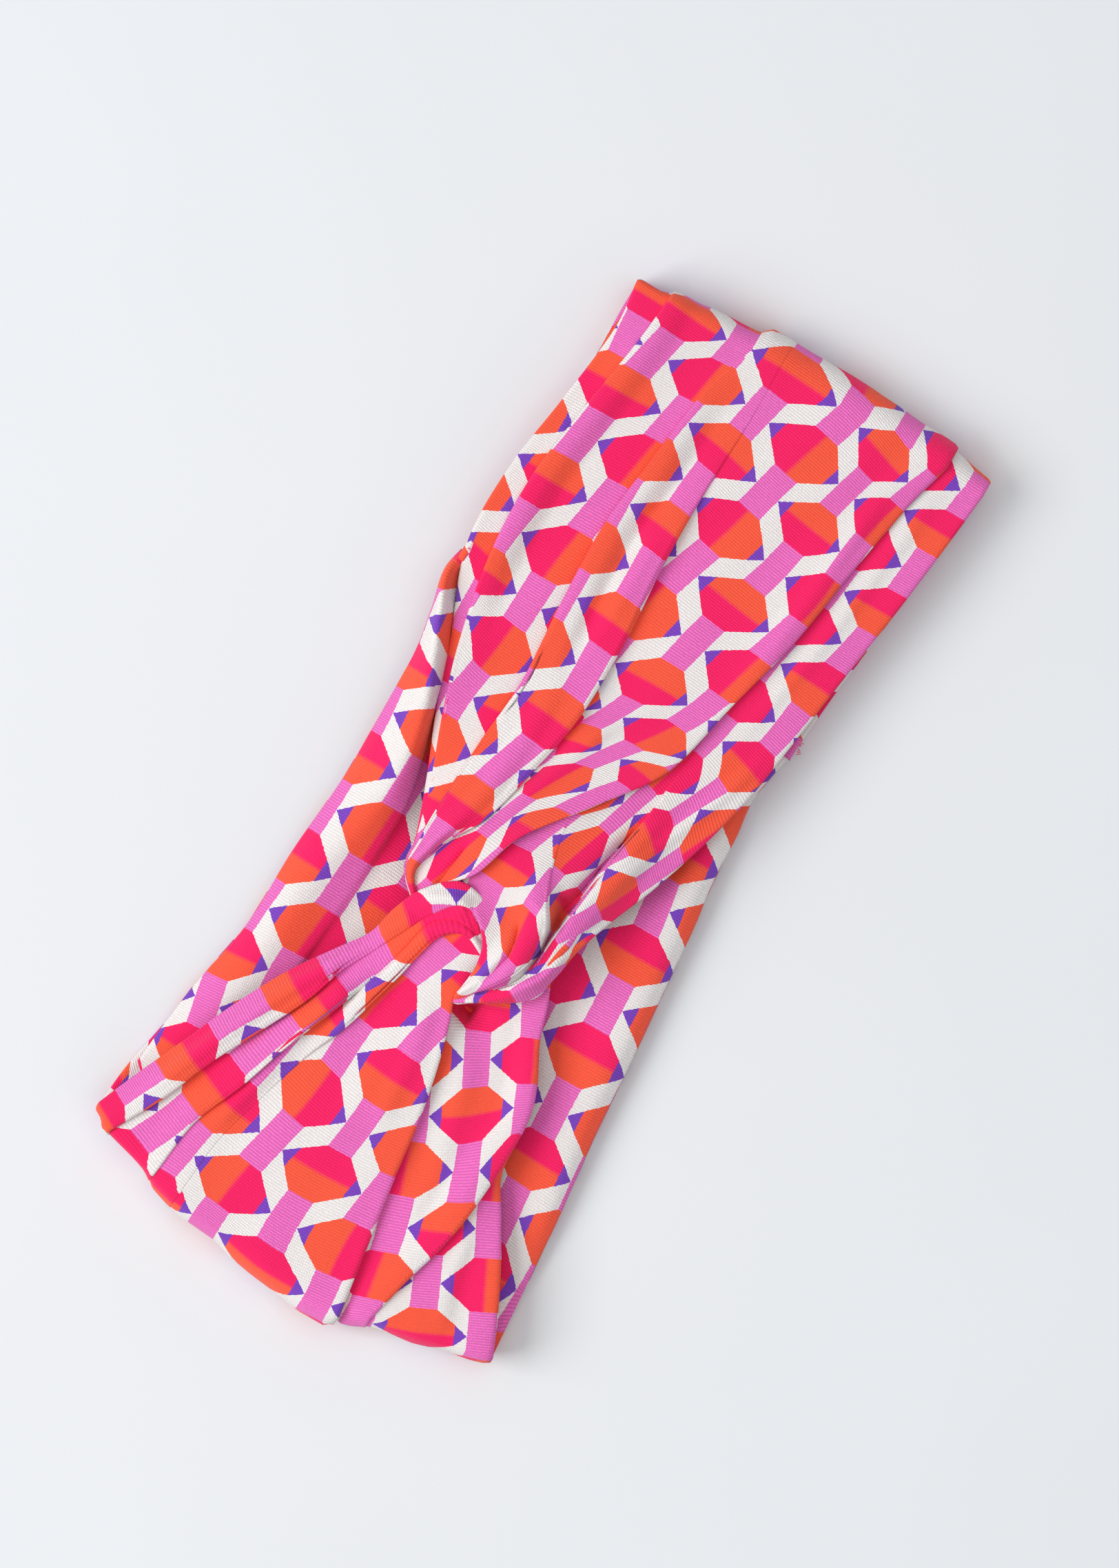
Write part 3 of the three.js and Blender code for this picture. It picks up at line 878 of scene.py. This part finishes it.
# Across the back: left rim, rise, ridge, its steep side, floor, floor, right crest, rim.
back_sections = [
    (-95, [(-51.5, 2.6), (-47, 3.4), (-42, 3.6), (-36, 3.2), (-20, 2.4), (20, 2.4), (46, 3.6), (52, 3.0)]),
    (-75, [
        (-49.6, 3.6), (-45.5, 5.6), (-41, 6.0), (-35, 4.6), (-24, 3.0), (24, 3.0), (44, 5.6),
        (50, 3.6),
    ]),
    (-55, [
        (-46.2, 4.2), (-43, 7.0), (-39, 7.8), (-32, 5.6), (-24, 3.4), (22, 3.4), (41, 6.4),
        (47.4, 4.0),
    ]),
    (-35, [
        (-46.0, 4.6), (-42.5, 7.6), (-38, 8.4), (-31, 6.0), (-22, 3.6), (18, 3.4), (39, 6.8),
        (45.6, 4.2),
    ]),
    (-15, [
        (-44.7, 5.0), (-41.5, 8.6), (-35, 11.0), (-29.6, 7.4), (-25, 3.2), (18, 3.4), (37, 7.0),
        (43.4, 4.4),
    ]),
    (-3, [
        (-44.8, 6.0), (-41.5, 9.8), (-34.8, 13.4), (-31.6, 8.0), (-28, 3.2), (20, 3.4), (36, 7.2),
        (42.1, 4.6),
    ]),
    (10, [
        (-45.1, 8.0), (-41.5, 12.4), (-37.4, 15.0), (-35.4, 10.6), (-32, 3.6), (22, 3.4),
        (35, 7.2), (40.2, 4.8),
    ]),
    (20, [
        (-45.6, 9.0), (-43, 14.0), (-41, 15.8), (-38.6, 10.8), (-35, 3.6), (22, 3.4), (34, 7.2),
        (39.6, 4.8),
    ]),
    (30, [
        (-47.4, 10.0), (-46.2, 14.8), (-45.2, 16.0), (-42.6, 10.8), (-38, 3.6), (22, 3.4),
        (33, 7.0), (38.4, 4.8),
    ]),
    (38, [
        (-49.2, 11.0), (-48.8, 13.6), (-48.2, 14.4), (-45.6, 10.0), (-38, 3.2), (22, 3.0),
        (34, 6.0), (39.6, 4.8),
    ]),
    (SEAM_Y - 0.5, [
        (-48.6, 9.0), (-47.6, 10.6), (-46.2, 10.8), (-43.0, 7.0), (-36, 2.6), (22, 2.4), (35, 4.4),
        (40.8, 4.0),
    ]),
]
section_y = np.array([y for y, _ in back_sections], float)
section_xz = np.array([row for _, row in back_sections], float)
fine_y = np.linspace(section_y[0], section_y[-1], 116)
stretch = np.interp(fine_y, section_y, np.arange(len(section_y)))
whole = flow(section_xz, 400)
picked = whole[np.clip((stretch / (len(section_y) - 1) * 399).round().astype(int), 0, 399)]
back_rows = []
for y, section in zip(fine_y, picked):
    line = flow(section, columns)
    back_rows.append(np.stack([line[:, 0], np.full(columns, y), line[:, 1]], axis=1))
back_points = np.array(back_rows)
grow = sign_of_print(uv)
back_uv = turn_uv[-1][None] + np.stack(
    [grow * np.abs(back_points[..., 1] - turn_points[-1][None, :, 1]), 0 * back_points[..., 1]], axis=-1
)
lining = print_map(180, [
    (3, 1, [(-45.3, -8.6), (-44.8, -22), (-46.1, -35.8), (-46.4, -49.2), (-46.8, -63.1), (-44.5, -75)]),
    (2, -2, [(-36.5, 26.5)]),
    (3, -1, [(-47, 15), (-45.5, 4)]),
    (2, 0, [(-31.3, 3.8), (-31, -8.5), (-31.4, -21.5), (-31.9, -35.8), (-32.6, -49.2), (-33.6, -60.7)]),
    (-3, -1, [
        (29.7, 10.5), (32.2, -2.3), (33.5, -15.5), (34.5, -27.3), (35.3, -41), (36.5, -54.7),
        (37.4, -67.3), (39, -80), (40.1, -94),
    ]),
    (-4, 0, [(46.2, -2), None, (48.9, -27.3), None, (49.9, -53.8), None, (52.5, -81.3)]),
    (-2, 2, [(20.5, -27.5)]),
])
points = np.concatenate([back_points[::-1], turn_points[::-1], points])
uv = np.concatenate([back_uv[::-1], turn_uv[::-1], uv])
inner_uv = lining(points[..., 0], points[..., 1])
lower_inner = cloth_piece("lower_strap_inner_leg", points, uv, inner_uv, lower_jersey)
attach(lower_inner, "root")
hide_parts("lower_strap")

# ------------------------------------------------------------------ centre back seam
# The ends of both straps are overlocked together, and the allowance lies flat on the inner
# face of the back. It is the same jersey, with polyester overlock thread wrapped round it.
SEAM_HALF = 2.8
seam_x = np.linspace(-48.2, 40.9, 240)
lining_row = np.argmin(np.abs(back_points[:, 0, 1] - 43))
seam_base = np.interp(seam_x, back_points[lining_row, :, 0], back_points[lining_row, :, 2]) + 0.9
turn = np.linspace(0, 1, 15)
seam_points = np.zeros((len(turn), len(seam_x), 3))
seam_points[..., 0] = seam_x[None]
seam_points[..., 1] = SEAM_Y - SEAM_HALF + 2 * SEAM_HALF * turn[:, None]
seam_points[..., 1] += 0.25 * np.sin(seam_x * 2 * math.pi / 9)[None]
seam_points[..., 2] = seam_base[None] + 0.35 * np.sin(turn * math.pi)[:, None]
seam_points[..., 2] += 0.12 * np.sin(seam_x * 2 * math.pi / 2.2)[None]
seam_uv = np.stack([seam_points[..., 1] - SEAM_Y + 3, seam_points[..., 0]], axis=-1)
seam_jersey = jersey("printed_viscose_jersey_seam")
seam_uv = seam_uv[::-1]
seam = cloth_piece("back_seam_allowance", seam_points[::-1], seam_uv, seam_uv, seam_jersey, rim=0.8)
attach(seam, "root")
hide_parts("back_seam")

# Spun polyester sewing thread: twisted plies, slightly glossy along the twist, with a painted highlight on
# the raised plies and painted shade in the grooves between them.
spun_thread, tree = new_material("spun_polyester_thread")
place = add(tree, "ShaderNodeTexCoord")
ply = add(
    tree,
    "ShaderNodeTexWave",
    {"Vector": place.outputs["Object"], "Scale": 900.0, "Distortion": 2.0, "Detail": 1.0},
    bands_direction="DIAGONAL",
)
# painted highlight and shade: lighter pink where the ply wave rises, darker pink in its grooves
ply_painted_light = add(
    tree,
    "ShaderNodeMix",
    {"Factor": ply.outputs["Fac"], "A": linear("#E8347A"), "B": linear("#F65C98")},
    data_type="RGBA",
)
ply_bump = add(
    tree,
    "ShaderNodeBump",
    {"Height": ply.outputs["Fac"], "Strength": 0.4, "Distance": 0.05 * MM},
)
thread_surface = add(
    tree,
    "ShaderNodeBsdfPrincipled",
    {
        "Base Color": ply_painted_light.outputs["Result"],
        "Roughness": 0.55,
        "Normal": ply_bump.outputs["Normal"],
        "Sheen Weight": 0.15,
    },
)
add(tree, "ShaderNodeOutputMaterial", {"Surface": thread_surface.outputs["BSDF"]})


def thread(name, path, radius=0.16):
    """Sewing thread laid along a path in mm."""
    curve = bpy.data.curves.new(name, "CURVE")
    curve.dimensions = "3D"
    curve.bevel_depth = radius * MM
    curve.bevel_resolution = 1
    spline = curve.splines.new("POLY")
    spline.points.add(len(path) - 1)
    for point, (x, y, z) in zip(spline.points, path):
        point.co = (x * MM, y * MM, z * MM, 1)
    curve.materials.append(spun_thread)
    piece = bpy.data.objects.new(name, curve)
    scene.collection.objects.link(piece)
    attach(piece, "root")
    return piece


LOOP_PITCH = 1.5
loops = []
for k, x in enumerate(np.arange(seam_x[0] + 0.6, seam_x[-1] - 0.6, LOOP_PITCH / 2)):
    z = np.interp(x, seam_x, seam_base) + 0.75
    across = SEAM_HALF + 0.2 if k % 2 else 0.4
    loops.append((x, SEAM_Y + across, z - (0.45 if k % 2 else 0.0)))
overlock = thread("back_seam_overlock_loops", loops, 0.14)
needle_line = [
    (x, SEAM_Y + 0.4 + 0.08 * math.sin(x * 2), np.interp(x, seam_x, seam_base) + 0.9)
    for x in np.arange(seam_x[0] + 0.4, seam_x[-1] - 0.4, 0.8)
]
needle_thread = thread("back_seam_needle_thread", needle_line, 0.13)
draw = np.random.default_rng(21)
for k in range(5):
    base = np.array([41.0 + 0.1 * k, SEAM_Y + 1.4 - 0.5 * k, 4.6 + 0.2 * k])
    lean = np.array([draw.uniform(0.2, 0.6), draw.uniform(-0.1, 0.9), draw.uniform(-0.2, 0.4)])
    path = []
    for t in np.linspace(0, 1.5, 6):
        path.append(base + lean * t + np.array([0, 0.25 * math.sin(2.5 * t + k), 0]))
    thread(f"back_seam_thread_end_{k + 1}", path, 0.1)

# ------------------------------------------------------------------ closing seams
# Each strap is a strip of jersey sewn into a tube. The seam runs along the middle of the
# side against the head, from the centre back seam round the end fold toward the knot.
STITCH_HALF = 0.5
STITCH = 1.6


def zigzag(path):
    """A narrow zigzag stitch along a path of y, z points at x = 0."""
    path = np.asarray(path, float)
    run = np.concatenate([[0], np.cumsum(np.hypot(*np.diff(path, axis=0).T))])
    places = np.arange(0, run[-1], STITCH / 2)
    ys = np.interp(places, run, path[:, 0])
    zs = np.interp(places, run, path[:, 1])
    return [((-1) ** k * STITCH_HALF, y, z) for k, (y, z) in enumerate(zip(ys, zs))]


def seam_round_end(back_y, back_heights, end, front_y, front_z):
    """The y, z path of a closing seam: along the back, round the end fold, along the front."""
    sign = np.sign(end)
    middle = (back_heights[-1] + front_z) / 2
    radius = (front_z - back_heights[-1]) / 2
    arc = [
        (end - sign * radius + sign * radius * math.sin(a), middle - radius * math.cos(a))
        for a in np.linspace(0, math.pi, 9)
    ]
    return [*zip(back_y, back_heights), *arc, (front_y, front_z)]


upper_path = seam_round_end([SEAM_Y + 3.4, 112], [2.9, 2.9], 119.5, -4.0, 10.35)
upper_closing = thread("upper_closing_seam_stitches", zigzag(upper_path))
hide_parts("upper_closing_seam")
lining_top = back_points[..., 2] + JERSEY / 2
middle_column = np.argmin(np.abs(back_points[0, :, 0]))
lower_back_y = back_points[::-8, middle_column, 1][:-1]
lower_back_z = lining_top[::-8, middle_column][:-1] + 0.1
lower_back_z[-1] = 3.0
lower_path = seam_round_end(lower_back_y[1:], lower_back_z[1:], -119.5, -60.0, 10.1)
lower_closing = thread("lower_closing_seam_stitches", zigzag(lower_path))
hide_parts("lower_closing_seam")
